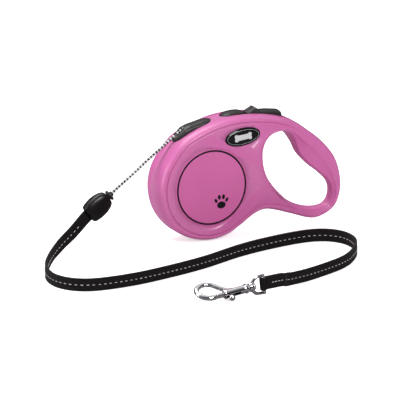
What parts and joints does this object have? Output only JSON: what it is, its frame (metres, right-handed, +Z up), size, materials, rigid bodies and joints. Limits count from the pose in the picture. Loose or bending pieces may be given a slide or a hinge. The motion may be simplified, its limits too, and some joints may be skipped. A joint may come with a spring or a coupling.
{
  "type": "retractable dog leash",
  "caption": "Retractable cord leash: two-shell case with a hand loop, sprung cord spool, brake button with lock, and a webbing strap with a swivel snap hook.",
  "frame": {"origin": "centre of the round flat on the right side face of the case, on the spool axis", "axes": "+X from the cord side to the hand loop, +Y out of the right side face, +Z up, from the spool axis to the brake button"},
  "size_m": [0.2708, 0.1863, 0.0962],
  "materials": {
    "pink_shell": "smooth moulded pink, satin",
    "label_pink": "printed film, satin",
    "badge_black": "domed gloss black",
    "black_plastic": "fine grained moulding",
    "grey_plastic": "plain moulding",
    "cord_braid": "braided black and white polyester",
    "webbing": "woven black polyester webbing",
    "stitch_thread": "reflective thread",
    "bright_steel": "bright drawn steel",
    "spring_steel": "blued spring steel",
    "chrome_plate": "polished chrome plate"
  },
  "bodies": {
    "case": {"left_shell": "pink_shell", "right_shell": "pink_shell", "left_label": "label_pink", "right_label": "label_pink", "left_badge": "badge_black", "right_badge": "badge_black", "case_screws": "bright_steel", "cord_outlet": "black_plastic", "spool_axle": "bright_steel", "mainspring": "spring_steel", "cord_lead": "cord_braid", "button_pin": "bright_steel", "button_spring": "spring_steel", "pawl_pin": "bright_steel"},
    "spool": {"spool": "grey_plastic", "spring_cover": "grey_plastic", "wound_cord": "cord_braid"},
    "brake_button": {"brake_button": "black_plastic"},
    "lock_slider": {"lock_slider": "black_plastic"},
    "brake_pawl": {"brake_pawl": "bright_steel"},
    "leash_end": {"drawn_cord": "cord_braid", "cord_stop": "black_plastic", "connector": "black_plastic", "connector_pin": "bright_steel", "strap": "webbing", "strap_stitching": "stitch_thread"},
    "swivel_eye": {"swivel_eye": "chrome_plate"},
    "snap_hook": {"hook_body": "chrome_plate", "bolt_spring": "spring_steel"},
    "hook_bolt": {"hook_bolt": "chrome_plate"}
  },
  "joints": [
    {"name": "cord_payout", "type": "slide", "parent": "case", "child": "leash_end", "axis": [-0.8028, 0, -0.5962], "range_m": [-0.047, 4.91869], "deforming": ["drawn_cord"]},
    {"name": "spool_spin", "type": "hinge", "parent": "case", "child": "spool", "pos_m": [0, -0.01425, 0], "axis": [0, -1, 0], "range_deg": [-91, 9243], "deforming": ["mainspring"]},
    {"name": "brake_press", "type": "hinge", "parent": "case", "child": "brake_button", "pos_m": [0.017, -0.01425, 0.047], "axis": [0, 1, 0], "range_deg": [0, 5], "stiffness_Nm_per_rad": 2, "springref_deg": -1.15, "deforming": ["button_spring"]},
    {"name": "pawl_swing", "type": "hinge", "parent": "case", "child": "brake_pawl", "pos_m": [0.041, -0.01425, 0.0396], "axis": [0, -1, 0], "range_deg": [0, 8.6]},
    {"name": "lock_slide", "type": "slide", "parent": "brake_button", "child": "lock_slider", "axis": [-1, 0, 0], "range_m": [0, 0.003]},
    {"name": "eye_pivot", "type": "hinge", "parent": "leash_end", "child": "swivel_eye", "pos_m": [-0.0296, -0.17485, -0.0339], "axis": [-0.1042, -0.0087, 0.9945], "range_deg": [-60, 60]},
    {"name": "hook_swivel", "type": "hinge", "parent": "swivel_eye", "child": "snap_hook", "pos_m": [-0.0296, -0.17485, -0.0339], "axis": [-0.991, -0.0832, -0.1045], "continuous": true},
    {"name": "bolt_slide", "type": "slide", "parent": "snap_hook", "child": "hook_bolt", "axis": [0.991, 0.0832, 0.1045], "range_m": [0, 0.008], "stiffness_N_per_m": 250, "springref_m": -0.004, "deforming": ["bolt_spring"]}
  ],
  "couplings": [
    {"joint": "spool_spin", "follows": "cord_payout", "rad_per_m": 32.787},
    {"joint": "pawl_swing", "follows": "brake_press", "ratio": 1.7}
  ]
}
